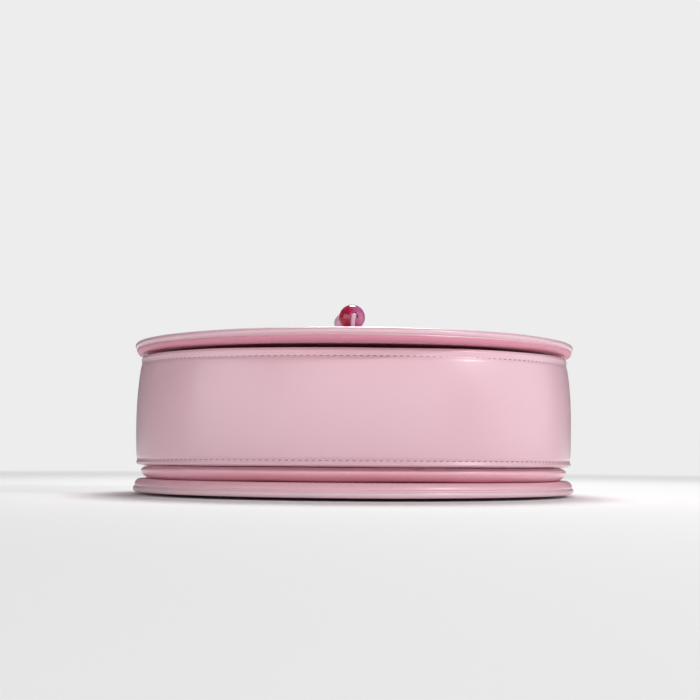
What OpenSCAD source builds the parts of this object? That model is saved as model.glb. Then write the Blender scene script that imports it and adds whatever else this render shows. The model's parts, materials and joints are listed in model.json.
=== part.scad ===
// Half-moon crossbody purse, lying on its back: X across, Y from the bag's
// bottom (-) to its top (+), Z out through the flap. Origin on the resting
// plane, under the middle of the bag.

/* [Plates] */
// Width of the flap and of the back plate
plate_w = 230; // [210:5:250]
// Height of the closed bag, from the flap's tip to the spine
bag_h = 160; // [155:5:175]
// Thickness of the closed bag, without the bead pull
bag_t = 76.3; // [75:0.1:78]
// Thickness of the padded back plate
back_t = 6.6; // [6:0.1:7]
// Thickness of the padded flap
flap_t = 6.4; // [6:0.1:7]
// Thickness of the spine
spine_t = 4.3; // [4:0.1:4.5]

/* [Body] */
// Width of the body across its side seams
body_w = 222; // [212:2:224]
// How far the plates overhang the bottom of the body
overhang = 12; // [9:1:15]
// Height at which the gusset meets the padded back panel
back_seam = 13.7; // [12:0.1:15]
// Gap between the front panel and the closed flap
flap_gap = 1.9; // [1.5:0.1:2.5]
// Thickness of the gusset and of the front panel
wall = 2; // [1.6:0.1:2.4]
// Squareness of the body's outline: 2 is an ellipse
body_power = 2.4; // [2:0.1:2.5]
// How far each side of the body leans in towards the mouth
side_lean = 8; // [6:1:10]

/* [Bead pull] */
// Diameter of the large bead
large_bead_d = 12; // [11:0.5:12]
// Diameter of the small bead
small_bead_d = 9; // [8:0.5:9]
// Diameter of the cord that holds the beads
pull_cord_d = 2; // [1.6:0.1:2]

/* [Strap] */
// Width of the shoulder strap
strap_w = 10; // [8:0.5:10]
// Thickness of the shoulder strap
strap_t = 2.4; // [2:0.1:2.6]
// Half the length of one run of the folded strap
run_half = 66; // [58:1:70]

/* [Hidden] */

pink = "#dcb8c4";
lining_pink = "#c98c9f";
board_grey = "#b9b2a6";
foam_cream = "#e9e2d0";
steel = "#c9c9cc";
dark_iron = "#5c5c60";
magenta = "#b3224f";
lilac = "#d9b3cf";

// plates
plate_r = plate_w / 2;
front_y = -bag_h / 2;
spine_out_y = bag_h / 2;
arc_y = front_y + plate_r;          // centre of the round bottom edge
skin = 1.2;                         // leather around a stiffener board
rim = 3.2;                          // turned edge around a plate
board_t = 1.6;                      // stiffener board next to a plate's outer leather
fit = 0.1;                          // air round a piece that sits in a recess
flap_under = bag_t - flap_t;
spine_in_y = spine_out_y - spine_t - 0.1;
plate_end_y = spine_in_y - 0.6;     // where a plate stops short of its fold

// body
body_top = flap_under - flap_gap;
body_front_y = front_y + overhang;
body_y = 30;                        // widest place of the body's outline
mouth_y = plate_end_y - 5;
mouth_half = body_w / 2 - side_lean;
side_turn = atan(side_lean / (mouth_y - body_y));
lining_t = 0.8;
cloth_floor = back_seam + lining_t;
cloth_roof = body_top - wall - lining_t;

// a pair of magnets hidden in the flap and the front panel, each with a steel keeper
magnet_y = front_y + 28;
magnet_r = 6;
magnet_t = 1.1;
keeper_t = 0.5;

// inner zip
zip_y = 52;
zip_half = 68;
zip_tape_w = 10;
zip_tape_t = 0.6;
coil_r = 1;
slider_x = 56;

// rings and their tabs, measured along the leaning side from body_y
tab_low = 3;
rivet_along = 10;
ring_along = 22;
ring_z = 41;
ring_r = 8.5;
ring_wire = 1.5;
ring_leg = 3;
tab_layer = 1.4;
tab_half = 6.5;
tab_eye = ring_wire + 0.2;
ring_out = tab_eye + tab_layer;
rivet_r = 1.5;
rivet_head_r = 3.5;
rivet_head_t = 1;

// bead pull, measured from the flap's tip and its top face, a little left of the middle
pull_x = -1;
eyelet_front_y = 13.6;
eyelet_rear_y = 46;
eyelet_r = 2.4;
eyelet_flange_t = 0.4;
eyelet_bore_r = 1.5;
large_bead = [-0.4, 24, large_bead_d / 2 + 0.4];
small_bead = [-4.2, 34, small_bead_d / 2 + 0.3];
large_bore = [-0.2, 0.97, -0.05];
small_bore = [-0.5, 0.85, -0.2];
bead_bore_r = 1.6;
cord_end = skin + eyelet_flange_t;
knot_hole_r = 3.7;                  // room in the board and the foam for the cord's knots
pull_route = [
    [0, 13.6, -cord_end], [0, 13.6, -0.6], [0, 13.6, 0.6], [0, 13.6, 2.8], [0.1, 14.1, 4.8],
    [0.5, 15.5, 6.3], [0.8, 17.6, 6.8], [0.4, 20.5, 6.6], [-0.4, 24, 6.4], [-1.1, 27.3, 6.2],
    [-1.6, 29.2, 6.0], [-2.3, 31, 5.5], [-4.2, 34, 4.8], [-5.4, 36, 4.3], [-6.4, 37.8, 3.9],
    [-7, 40, 3.5], [-6.5, 42.3, 3.2], [-5.4, 43.8, 3.1], [-3.8, 44.8, 2.9], [-2.1, 45.4, 2.3],
    [-0.6, 45.9, 1], [0, 46, -0.4], [0, 46, -cord_end]
];

// folded strap: the y of each run, its z and the turns between runs
runs = [-38, -24, -14.5, -5, 4.5, 14, 28];
strap_z = 17.5;
strap_mid_z = strap_z + strap_w / 2;
first_x = -16;
last_x = 30;
hook_bar = 1;
adjuster_x = 18;

// ---- outlines -------------------------------------------------------------

// round bottom and straight sides, from the left top corner to the right one
function plate_points(inset, top_y) = concat(
    [[-(plate_r - inset), top_y - inset]],
    [for (a = [180:3:360]) [(plate_r - inset) * cos(a), arc_y + (plate_r - inset) * sin(a)]],
    [[plate_r - inset, top_y - inset]]
);

// one coordinate of a superellipse
function squared(v) = sign(v) * pow(abs(v), 2 / body_power);

function body_points(inset, top_y) = concat(
    [[-(mouth_half - inset), top_y]],
    [for (a = [180:3:360]) [
        (body_w / 2 - inset) * squared(cos(a)),
        body_y + (body_y - body_front_y - inset) * squared(sin(a))
    ]],
    [[mouth_half - inset, top_y]]
);

module plate(inset, top_y, z0, z1)
    translate([0, 0, z0]) linear_extrude(z1 - z0) polygon(plate_points(inset, top_y));

module body_slab(inset, top_y, z0, z1)
    translate([0, 0, z0]) linear_extrude(z1 - z0) polygon(body_points(inset, top_y));

module block(low, high)
    translate(low) cube(high - low);

module post(at, r, h)
    translate(at) cylinder(r = r, h = h, $fn = 48);

// right (1) or left (-1) side of the body: +X out of it, +Y along it to the mouth
module at_side(s)
    mirror([s < 0 ? 1 : 0, 0, 0])
        translate([body_w / 2, body_y, ring_z]) rotate([0, 0, side_turn]) children();

// straight rod along +X, from x0 to x1
module rod_x(r, x0, x1)
    translate([x0, 0, 0]) rotate([0, 90, 0]) cylinder(r = r, h = x1 - x0, $fn = 32);

// turns +Z to a direction
module aim(v)
    rotate([0, acos(v[2] / norm(v)), atan2(v[1], v[0])]) children();

// ---- back plate -----------------------------------------------------------

module back_skin()
    color(pink) difference() {
        plate(0, plate_end_y, 0, back_t);
        plate(rim, plate_end_y, skin, back_t + 1);
    }

module back_board()
    color(board_grey) plate(rim + fit, plate_end_y, skin, skin + board_t);

module back_plate_foam()
    color(foam_cream) plate(rim + fit, plate_end_y, skin + board_t, back_t - skin);

module back_cover()
    color(pink) plate(rim + fit, plate_end_y, back_t - skin, back_t);

// ---- body -----------------------------------------------------------------

pocket_x = 74;
pocket_low_y = -20;
pocket_depth = 1.2;

pocket_top_y = mouth_y - 6;

module zip_pocket_bag()
    color(lining_pink) pocket_space(0);

module back_panel()
    color(pink) difference() {
        body_slab(0, mouth_y, back_t, back_seam);
        body_slab(skin, mouth_y - skin, back_t + skin, back_seam + 1);
    }

module back_foam()
    color(foam_cream) difference() {
        body_slab(skin + 0.05, mouth_y - skin - 0.05, back_t + skin, back_seam);
        pocket_space(1);
    }

module pocket_space(extra)
    block([-pocket_x, pocket_low_y, back_seam - pocket_depth], [pocket_x, pocket_top_y, back_seam + extra]);

module gusset()
    color(pink) difference() {
        body_slab(0, mouth_y, back_seam, body_top);
        body_slab(wall, mouth_y + 1, back_seam - 1, body_top + 1);
        for (s = [-1, 1])
            at_side(s) translate([0, rivet_along, 0]) rod_x(rivet_r, -wall - 2, 1);
    }

module front_panel()
    color(pink) difference() {
        body_slab(wall + 0.05, mouth_y, body_top - wall, body_top);
        post([0, magnet_y, body_top - wall - 1], magnet_r + 0.05, keeper_t + magnet_t + 1);
    }

binding_half = mouth_half - wall - 4;

module mouth_binding()
    color(pink) difference() {
        block([-binding_half, mouth_y - 3, cloth_roof - 0.7], [binding_half, mouth_y + 1.4, body_top + 0.7]);
        block([-body_w, mouth_y - 4, cloth_roof], [body_w, mouth_y, body_top]);
    }

module lining()
    color(lining_pink) difference() {
        body_slab(wall + 0.1, mouth_y, back_seam, body_top - wall);
        body_slab(wall + 0.1 + lining_t, mouth_y + 1, cloth_floor, cloth_roof);
        block([-zip_half - 4, zip_y - 2, back_seam - 1], [zip_half + 4, zip_y + 2, cloth_floor + 1]);
        for (s = [-1, 1])
            at_side(s) translate([0, rivet_along, 0]) rod_x(rivet_head_r + 0.1, -wall - 3, 1);
    }

// a cloth pocket sewn to the roof of the lining
module slip_pocket() {
    low = [-48, 4, cloth_roof - 1.6];
    high = [48, 62, cloth_roof];
    color(lining_pink) difference() {
        block(low, high);
        block([low[0] + 2, low[1] + 2, high[2] - 0.8], [high[0] - 2, high[1] + 1, high[2] + 1]);
    }
}

module panel_keeper()
    color(steel) post([0, magnet_y, body_top - wall], magnet_r, keeper_t);

module panel_magnet()
    color(dark_iron) post([0, magnet_y, body_top - wall + keeper_t], magnet_r, magnet_t);

// ---- inner zip ------------------------------------------------------------

module zip_tapes()
    color(lining_pink) for (s = [-1, 1])
        translate([0, s * (zip_tape_w / 2 + 0.2), 0])
            block([-zip_half - 4, zip_y - zip_tape_w / 2, cloth_floor],
                  [zip_half + 4, zip_y + zip_tape_w / 2, cloth_floor + zip_tape_t]);

module zip_coil()
    color("#b76d84") for (s = [-1, 1])
        translate([-zip_half, zip_y + s * (coil_r + 0.1), cloth_floor + zip_tape_t + coil_r])
            rotate([0, 90, 0]) cylinder(r = coil_r, h = 2 * zip_half, $fn = 24);

module zip_stops()
    color(steel) for (s = [-1, 1])
        translate([s * (zip_half + 1.5), zip_y, cloth_floor + zip_tape_t])
            block([-1, -2.6, 0], [1, 2.6, 2]);

slider_low = cloth_floor + zip_tape_t + 0.1;
bridge_z = slider_low + 5.2;

module zip_slider()
    color(steel) difference() {
        union() {
            block([slider_x - 5, zip_y - 3.6, slider_low], [slider_x + 5, zip_y + 3.6, slider_low + 3.4]);
            for (s = [-1, 1])
                block([slider_x - 1.6, zip_y + s * 2.6 - 0.6, slider_low + 3.3],
                      [slider_x + 1.6, zip_y + s * 2.6 + 0.6, bridge_z + 0.9]);
            translate([slider_x, zip_y + 2.8, bridge_z]) rotate([90, 0, 0])
                cylinder(r = 0.7, h = 5.6, $fn = 32);
        }
        block([slider_x - 6, zip_y - 2.5, slider_low - 1], [slider_x + 6, zip_y + 2.5, slider_low + 2.4]);
    }

module zip_puller()
    color(steel) difference() {
        union() {
            translate([slider_x, zip_y + 1.8, bridge_z]) rotate([90, 0, 0])
                cylinder(r = 1.7, h = 3.6, $fn = 32);
            block([slider_x, zip_y - 1.8, bridge_z + 0.3], [slider_x + 4, zip_y + 1.8, bridge_z + 1.5]);
            block([slider_x + 3.6, zip_y - 2.6, bridge_z + 0.3],
                  [slider_x + 20, zip_y + 2.6, bridge_z + 1.5]);
        }
        translate([slider_x, zip_y + 4, bridge_z]) rotate([90, 0, 0])
            cylinder(r = 0.8, h = 8, $fn = 32);
    }

// ---- strap rings ----------------------------------------------------------

module side_tab(s)
    color(pink) at_side(s) difference() {
        union() {
            block([0, tab_low, -tab_half], [2 * tab_layer, ring_along - 1.5, tab_half]);
            post([ring_out, ring_along, -tab_half], ring_out, 2 * tab_half);
        }
        post([ring_out, ring_along, -tab_half - 1], tab_eye, 2 * tab_half + 2);
        translate([0, rivet_along, 0]) rod_x(rivet_r, -1, 2 * tab_layer + 1);
    }

module side_ring(s)
    color(steel) at_side(s) translate([ring_out, ring_along, 0]) {
        bar = ring_r + ring_wire + 0.2;
        translate([0, 0, -bar]) cylinder(r = ring_wire, h = 2 * bar, $fn = 32);
        for (t = [-1, 1])
            translate([0, 0, t * ring_r]) rotate([-90, 0, 0])
                cylinder(r = ring_wire, h = ring_leg, $fn = 32);
        translate([0, ring_leg, 0]) rotate([0, 90, 0])
            rotate_extrude(angle = 180, $fn = 64)
                translate([ring_r, 0]) circle(r = ring_wire, $fn = 32);
    }

module tab_left() side_tab(-1);
module tab_right() side_tab(1);
module ring_left() side_ring(-1);
module ring_right() side_ring(1);

module tab_rivets()
    color(steel) for (s = [-1, 1])
        at_side(s) translate([0, rivet_along, 0]) {
            rod_x(rivet_head_r, -wall - rivet_head_t, -wall);
            rod_x(rivet_r, -wall - 0.5, 2 * tab_layer + 0.5);
            rod_x(rivet_head_r, 2 * tab_layer, 2 * tab_layer + rivet_head_t);
        }

// ---- spine ----------------------------------------------------------------

spine_low = back_t;
spine_high = flap_under - 0.4;

module spine_layer(y0, y1, inset)
    block([-plate_r + inset, y0, spine_low + inset], [plate_r - inset, y1, spine_high - inset]);

module spine_skin()
    color(pink) difference() {
        spine_layer(spine_in_y, spine_out_y, 0);
        spine_layer(spine_in_y - 1, spine_out_y - skin, rim);
    }

module spine_board()
    color(board_grey) spine_layer(spine_in_y + skin, spine_out_y - skin, rim + fit);

module spine_lining()
    color(lining_pink) spine_layer(spine_in_y, spine_in_y + skin, rim + fit);

// ---- flap -----------------------------------------------------------------

module pull_holes(r)
    for (y = [eyelet_front_y, eyelet_rear_y])
        post([pull_x, front_y + y, flap_under - 1], r, flap_t + 2);

module flap_skin()
    color(pink) difference() {
        plate(0, plate_end_y, flap_under, bag_t);
        plate(rim, plate_end_y, flap_under - 1, bag_t - skin);
        pull_holes(eyelet_r + 0.05);
    }

module flap_board()
    color(board_grey) difference() {
        plate(rim + fit, plate_end_y, bag_t - skin - board_t, bag_t - skin);
        pull_holes(knot_hole_r);
    }

module flap_foam()
    color(foam_cream) difference() {
        plate(rim + fit, plate_end_y, flap_under + skin, bag_t - skin - board_t);
        pull_holes(knot_hole_r);
        post([0, magnet_y, flap_under], magnet_r + 0.05, skin + magnet_t + keeper_t);
    }

module flap_lining()
    color(pink) plate(rim + fit, plate_end_y, flap_under, flap_under + skin);

module flap_magnet()
    color(dark_iron) post([0, magnet_y, flap_under + skin], magnet_r, magnet_t);

module flap_keeper()
    color(steel) post([0, magnet_y, flap_under + skin + magnet_t], magnet_r, keeper_t);

// everything on the pull is placed from the flap's tip and its top face
module at_pull()
    translate([pull_x, front_y, bag_t]) children();

module eyelet(y)
    color(steel) at_pull() translate([0, y, 0]) difference() {
        union() {
            translate([0, 0, -cord_end]) cylinder(r = 3.4, h = eyelet_flange_t, $fn = 48);
            translate([0, 0, -cord_end]) cylinder(r = eyelet_r, h = cord_end + 0.4, $fn = 48);
            cylinder(r = 3.6, h = 0.6, $fn = 48);
        }
        translate([0, 0, -cord_end - 1]) cylinder(r = eyelet_bore_r, h = cord_end + 2, $fn = 48);
    }

module eyelet_front() eyelet(eyelet_front_y);
module eyelet_rear() eyelet(eyelet_rear_y);

// ---- bead pull ------------------------------------------------------------

module bead(at, d, bore, paint)
    color(paint) at_pull() translate(at) difference() {
        sphere(r = d / 2, $fn = 64);
        aim(bore) translate([0, 0, -d]) cylinder(r = bead_bore_r, h = 2 * d, $fn = 32);
    }

module bead_large() bead(large_bead, large_bead_d, large_bore, magenta);
module bead_small() bead(small_bead, small_bead_d, small_bore, lilac);

// flat knots inside the flap that keep the cord's ends in their eyelets
module pull_knots()
    color(pink) for (y = [eyelet_front_y, eyelet_rear_y])
        at_pull() translate([0, y, -cord_end - 2])
            rotate_extrude($fn = 48) {
                square([1.6, 2]);
                translate([1.6, 1]) circle(r = 1, $fn = 24);
            }

// a round cord swept along a route, with its first frame across the start
function unit(v) = v / norm(v);
function heading(route, i) =
    unit(route[min(i + 1, len(route) - 1)] - route[max(i - 1, 0)]);
function side_of(route, i) =
    i == 0 ? unit(cross(heading(route, 0), [0, 1, 0]))
           : let (s = side_of(route, i - 1), h = heading(route, i)) unit(s - (s * h) * h);
function cord_ring(route, i, r, sides) =
    let (h = heading(route, i), s = side_of(route, i), t = cross(h, s))
        [for (k = [0:sides - 1]) route[i] + r * (cos(k * 360 / sides) * s + sin(k * 360 / sides) * t)];

module cord_tube(route, r, sides) {
    n = len(route);
    points = [for (i = [0:n - 1]) each cord_ring(route, i, r, sides)];
    walls = [for (i = [0:n - 2], k = [0:sides - 1])
        let (a = i * sides + k, b = i * sides + (k + 1) % sides) [a, a + sides, b + sides, b]];
    ends = [[for (k = [0:sides - 1]) k], [for (k = [sides - 1:-1:0]) (n - 1) * sides + k]];
    polyhedron(points, concat(walls, ends), convexity = 4);
}

module pull_cord()
    color(pink) at_pull() cord_tube(pull_route, pull_cord_d / 2, 8);

// ---- shoulder strap, folded inside the body -------------------------------

module run(x0, x1, y)
    translate([x0, y - strap_t / 2, 0]) square([x1 - x0, strap_t]);

// half ring that joins two runs at the end x, opening towards the other end
module turn(x, y0, y1, side) {
    r = (y1 - y0) / 2;
    translate([x, (y0 + y1) / 2]) difference() {
        circle(r = r + strap_t / 2, $fn = 64);
        circle(r = r - strap_t / 2, $fn = 64);
        translate([side > 0 ? -2 * r : 0, -2 * r]) square([2 * r, 4 * r]);
    }
}

// loop of strap round the bar of a hook's eye
module strap_loop(x, y)
    translate([x, y, strap_z]) difference() {
        cylinder(r = hook_bar + 0.15 + 1.4, h = strap_w, $fn = 48);
        translate([0, 0, -1]) cylinder(r = hook_bar + 0.15, h = strap_w + 2, $fn = 48);
    }

module strap_band()
    color(pink) union() {
        last = len(runs) - 1;
        difference() {
            translate([0, 0, strap_z]) linear_extrude(strap_w) union() {
                for (i = [0:last])
                    run(i == 0 ? first_x : -run_half, i == last ? last_x : run_half, runs[i]);
                for (i = [0:last - 1])
                    turn(i % 2 == 0 ? run_half : -run_half, runs[i], runs[i + 1], i % 2 == 0 ? 1 : -1);
            }
            for (end = [[first_x + 5, runs[0]], [last_x - 5, runs[last]]])
                translate([end[0], end[1] - 5, strap_mid_z]) rotate([-90, 0, 0])
                    cylinder(r = 1, h = 10, $fn = 24);
        }
        strap_loop(first_x - 2, runs[0]);
        strap_loop(last_x + 2, runs[last]);
    }

// a slide that holds two layers of strap together
module strap_adjuster()
    color(steel) translate([adjuster_x, runs[5], strap_mid_z]) difference() {
        block([-4, -2.6, -strap_w / 2 - 2.4], [4, 2.6, strap_w / 2 + 2.4]);
        block([-5, -strap_t / 2 - 0.15, -strap_w / 2 - 0.15], [5, strap_t / 2 + 0.15, strap_w / 2 + 0.15]);
    }

// elastic band round the five middle runs
module strap_tie() {
    low = [-34, runs[1] - strap_t / 2, strap_z];
    high = [-28, runs[5] + strap_t / 2, strap_z + strap_w];
    color(lilac) difference() {
        block(low - [0, 0.8, 0.8], high + [0, 0.8, 0.8]);
        block(low - [1, 0, 0], high + [1, 0, 0]);
    }
}

module rivet(x, y)
    translate([x, y, strap_mid_z]) rotate([-90, 0, 0]) {
        translate([0, 0, -strap_t / 2 - 0.8]) cylinder(r = 2.4, h = 0.8, $fn = 32);
        translate([0, 0, -strap_t / 2 - 0.4]) cylinder(r = 1, h = strap_t + 0.8, $fn = 24);
        translate([0, 0, strap_t / 2]) cylinder(r = 2.4, h = 0.8, $fn = 32);
    }

module strap_rivets()
    color(steel) {
        rivet(first_x + 5, runs[0]);
        rivet(last_x - 5, runs[len(runs) - 1]);
    }

// ---- bolt snap hooks: +X from the strap to the hook's nose ------------------

hook_r = 5.2;
hook_wire = 1.4;
hook_x = 13.4;                      // from the swivel's head to the middle of the hook
base_x = 4.5;
base_r = 2.8;
bolt_r = 1;
pivot_r = 1.3;
bar_x = -6;
bar_half = 7.5;
arm = 0.9;

module hook_eye()
    color(steel) difference() {
        union() {
            translate([bar_x, 0, -bar_half]) cylinder(r = hook_bar, h = 2 * bar_half, $fn = 32);
            for (s = [-1, 1])
                block([bar_x, -arm, s * (bar_half - arm) - arm], [-1, arm, s * (bar_half - arm) + arm]);
            block([-2, -1.2, -bar_half], [0, 1.2, bar_half]);
            rod_x(2.6, -2, 1.6);
        }
        rod_x(pivot_r + 0.05, -3, 3);
    }

module hook()
    color(steel) difference() {
        union() {
            rod_x(2, -2.9, -2.1);
            rod_x(pivot_r, -2.5, base_x + 0.5);
            rod_x(base_r, base_x, base_x + 3);
            translate([hook_x, 0, 0]) rotate([90, 0, 0]) rotate([0, 0, 180])
                rotate_extrude(angle = 270, $fn = 64)
                    translate([hook_r, 0]) circle(r = hook_wire, $fn = 32);
            block([base_x + 0.1, -1, 1], [base_x + 2.7, 1, hook_r - 0.6]);
            translate([0, 0, hook_r]) rod_x(2, base_x + 0.1, base_x + 2.9);
        }
        translate([0, 0, hook_r]) rod_x(bolt_r + 0.1, base_x - 1, base_x + 4);
    }

module hook_bolt()
    color(steel) union() {
        translate([0, 0, hook_r]) rod_x(bolt_r, base_x + 0.5, hook_x - 0.2);
        translate([hook_x - 1.4, 0, hook_r]) cylinder(r = 0.8, h = 2.6, $fn = 24);
    }

// end a: hook pointing -X, end b: hook pointing +X
module at_end_a()
    translate([first_x - 2 + bar_x, runs[0], strap_mid_z]) rotate([0, 0, 180]) children();
module at_end_b()
    translate([last_x + 2 - bar_x, runs[len(runs) - 1], strap_mid_z]) children();

module hook_eye_a() at_end_a() hook_eye();
module hook_a() at_end_a() hook();
module bolt_a() at_end_a() hook_bolt();
module hook_eye_b() at_end_b() hook_eye();
module hook_b() at_end_b() hook();
module bolt_b() at_end_b() hook_bolt();

back_skin();
back_board();
back_plate_foam();
back_cover();
back_panel();
back_foam();
gusset();
front_panel();
mouth_binding();
lining();
slip_pocket();
panel_magnet();
panel_keeper();
zip_pocket_bag();
zip_tapes();
zip_coil();
zip_stops();
zip_slider();
zip_puller();
tab_left();
tab_right();
tab_rivets();
ring_left();
ring_right();
spine_skin();
spine_board();
spine_lining();
flap_skin();
flap_board();
flap_foam();
flap_lining();
flap_magnet();
flap_keeper();
eyelet_front();
eyelet_rear();
pull_cord();
pull_knots();
bead_large();
bead_small();
strap_band();
strap_adjuster();
strap_tie();
strap_rivets();
hook_eye_a();
hook_a();
bolt_a();
hook_eye_b();
hook_b();
bolt_b();
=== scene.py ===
import json
import math
import bmesh
import bpy
from mathutils import Matrix, Vector, noise


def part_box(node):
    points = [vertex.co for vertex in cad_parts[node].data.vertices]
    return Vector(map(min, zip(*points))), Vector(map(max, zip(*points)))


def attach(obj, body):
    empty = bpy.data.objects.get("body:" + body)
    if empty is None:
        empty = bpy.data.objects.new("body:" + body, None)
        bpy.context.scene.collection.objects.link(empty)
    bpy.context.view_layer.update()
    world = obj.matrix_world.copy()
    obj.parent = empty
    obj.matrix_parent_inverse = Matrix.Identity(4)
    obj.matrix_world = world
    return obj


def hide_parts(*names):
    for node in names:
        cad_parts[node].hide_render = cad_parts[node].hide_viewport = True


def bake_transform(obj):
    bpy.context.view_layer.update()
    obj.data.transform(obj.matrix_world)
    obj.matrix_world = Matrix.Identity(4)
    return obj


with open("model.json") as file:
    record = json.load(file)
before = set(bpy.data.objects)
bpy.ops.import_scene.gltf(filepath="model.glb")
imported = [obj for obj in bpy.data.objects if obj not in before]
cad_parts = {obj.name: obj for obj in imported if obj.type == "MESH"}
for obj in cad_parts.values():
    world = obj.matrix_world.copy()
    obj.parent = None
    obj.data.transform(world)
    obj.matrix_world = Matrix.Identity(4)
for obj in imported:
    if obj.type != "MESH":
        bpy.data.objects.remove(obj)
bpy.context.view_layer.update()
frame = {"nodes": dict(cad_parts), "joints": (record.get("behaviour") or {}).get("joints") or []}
mm = 0.001

# dimensions from the frame
flapLow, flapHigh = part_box("flap_skin")
backLow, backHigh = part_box("back_skin")
gussetLow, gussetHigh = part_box("gusset")
spineLow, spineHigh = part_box("spine_skin")
liningLow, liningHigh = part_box("lining")
plateRadius = (flapHigh.x - flapLow.x) / 2
tipY = flapLow.y
arcY = tipY + plateRadius
plateEndY = flapHigh.y
bodyHalf = gussetHigh.x
mouthY = gussetHigh.y
bodyFrontY = gussetLow.y
backSeamZ, bodyTopZ = gussetLow.z, gussetHigh.z
bodyWideY = 30 * mm  # widest place of the body
sideLean = 8 * mm  # how far a side leans in at the mouth
bodyPower = 2.4  # squareness of the body's outline
sideTurn = math.atan2(sideLean, mouthY - bodyWideY)

joints = {j["name"]: j for j in frame["joints"]}
flapHinge = Vector(joints["flap_fold"]["pos_m"])
spineHinge = Vector(joints["spine_fold"]["pos_m"])
print("frame loaded:", len(frame["nodes"]), "nodes")


# camera, lights and floor
camera = dict(distance=576.0, height=18.2, side=-2.2, pitch=4.71, roll=0.42, lens=66.83)

cameraData = bpy.data.cameras.new("camera")
cameraData.lens = camera["lens"]
cameraData.sensor_width = 36
cameraData.clip_start, cameraData.clip_end = 0.01, 50
cameraObject = bpy.data.objects.new("camera", cameraData)
bpy.context.collection.objects.link(cameraObject)
cameraObject.matrix_world = (
    Matrix.Translation((camera["side"] * mm, tipY - camera["distance"] * mm, camera["height"] * mm))
    @ Matrix.Rotation(math.radians(90 + camera["pitch"]), 4, "X")
    @ Matrix.Rotation(math.radians(camera["roll"]), 4, "Z")
)
bpy.context.scene.camera = cameraObject
bpy.context.scene.view_settings.view_transform = "Standard"

studio = dict(
    backdrop=0.847,  # the pale grey seen behind the bag
    ambient=0.13,
    key=dict(place=(670, -610, 520), size=100, power=2.6),
    front=dict(place=(60, -1000, 60), size=1100, power=4.2),
    left=dict(place=(-800, -640, 120), size=900, power=2.8),
    right=dict(place=(1000, -180, 130), size=1100, power=3.45),
    top=dict(place=(40, 420, 900), size=420, power=7.4),
    floorColor=0.905,
    floorDrop=1.5,  # down to the underside of the back plate's padded face
    fadeFrom=0.42,  # metres from the bag where the floor turns into the backdrop
    fadeTo=1.2,
)


def softLight(name, place, size, power):
    data = bpy.data.lights.new(name, "AREA")
    data.shape = "DISK"
    data.size = size * mm
    data.energy = power
    light = bpy.data.objects.new(name, data)
    bpy.context.collection.objects.link(light)
    light.location = Vector(place) * mm
    aim = Vector((0, 0, 40 * mm)) - light.location
    light.rotation_euler = aim.to_track_quat("-Z", "Y").to_euler()


for lightName in ("key", "front", "left", "right", "top"):
    softLight(lightName + "Light", **studio[lightName])

world = bpy.data.worlds.new("studio")
bpy.context.scene.world = world
world.use_nodes = True
worldNodes, worldLinks = world.node_tree.nodes, world.node_tree.links
worldNodes.clear()


def plainBackground(strength):
    background = worldNodes.new("ShaderNodeBackground")
    background.inputs["Color"].default_value = (1, 1, 1, 1)
    background.inputs["Strength"].default_value = strength
    return background


seen = plainBackground(studio["backdrop"])
lit = plainBackground(studio["ambient"])
rays = worldNodes.new("ShaderNodeLightPath")
choose = worldNodes.new("ShaderNodeMixShader")
worldOut = worldNodes.new("ShaderNodeOutputWorld")
worldLinks.new(rays.outputs["Is Camera Ray"], choose.inputs["Fac"])
worldLinks.new(lit.outputs[0], choose.inputs[1])
worldLinks.new(seen.outputs[0], choose.inputs[2])
worldLinks.new(choose.outputs[0], worldOut.inputs["Surface"])

floorBm = bmesh.new()
bmesh.ops.create_circle(floorBm, cap_ends=True, radius=6.0, segments=96)
floorMesh = bpy.data.meshes.new("floor")
floorBm.to_mesh(floorMesh)
floorBm.free()
floor = bpy.data.objects.new("floor", floorMesh)
floor.location.z = -studio["floorDrop"] * mm
bpy.context.collection.objects.link(floor)

floorMaterial = bpy.data.materials.new("floorPaper")
floorMaterial.use_nodes = True
nodes, links = floorMaterial.node_tree.nodes, floorMaterial.node_tree.links
nodes.clear()
place = nodes.new("ShaderNodeTexCoord")
away = nodes.new("ShaderNodeVectorMath")
away.operation = "LENGTH"
fade = nodes.new("ShaderNodeMapRange")
fade.interpolation_type = "SMOOTHSTEP"
fade.inputs["From Min"].default_value = studio["fadeFrom"]
fade.inputs["From Max"].default_value = studio["fadeTo"]
paper = nodes.new("ShaderNodeBsdfDiffuse")
paper.inputs["Color"].default_value = (*[studio["floorColor"]] * 3, 1)
far = nodes.new("ShaderNodeEmission")
far.inputs["Strength"].default_value = studio["backdrop"]
blendFar = nodes.new("ShaderNodeMixShader")
floorOut = nodes.new("ShaderNodeOutputMaterial")
links.new(place.outputs["Object"], away.inputs[0])
links.new(away.outputs["Value"], fade.inputs["Value"])
links.new(fade.outputs[0], blendFar.inputs["Fac"])
links.new(paper.outputs[0], blendFar.inputs[1])
links.new(far.outputs[0], blendFar.inputs[2])
links.new(blendFar.outputs[0], floorOut.inputs["Surface"])
floorMesh.materials.append(floorMaterial)
print("camera, lights and floor made")


# shader groups
def newGroup(name, inputs, outputs):
    group = bpy.data.node_groups.new(name, "ShaderNodeTree")
    for label, kind, value in inputs:
        socket = group.interface.new_socket(label, in_out="INPUT", socket_type=kind)
        if value is not None:
            socket.default_value = value
    for label, kind in outputs:
        group.interface.new_socket(label, in_out="OUTPUT", socket_type=kind)
    start = group.nodes.new("NodeGroupInput")
    end = group.nodes.new("NodeGroupOutput")
    return group, start, end


def mathNode(tree, operation, a, b=None):
    node = tree.nodes.new("ShaderNodeMath")
    node.operation = operation
    for index, value in enumerate((a, b)):
        if value is None:
            continue
        if isinstance(value, (int, float)):
            node.inputs[index].default_value = value
        else:
            tree.links.new(value, node.inputs[index])
    return node.outputs[0]


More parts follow.
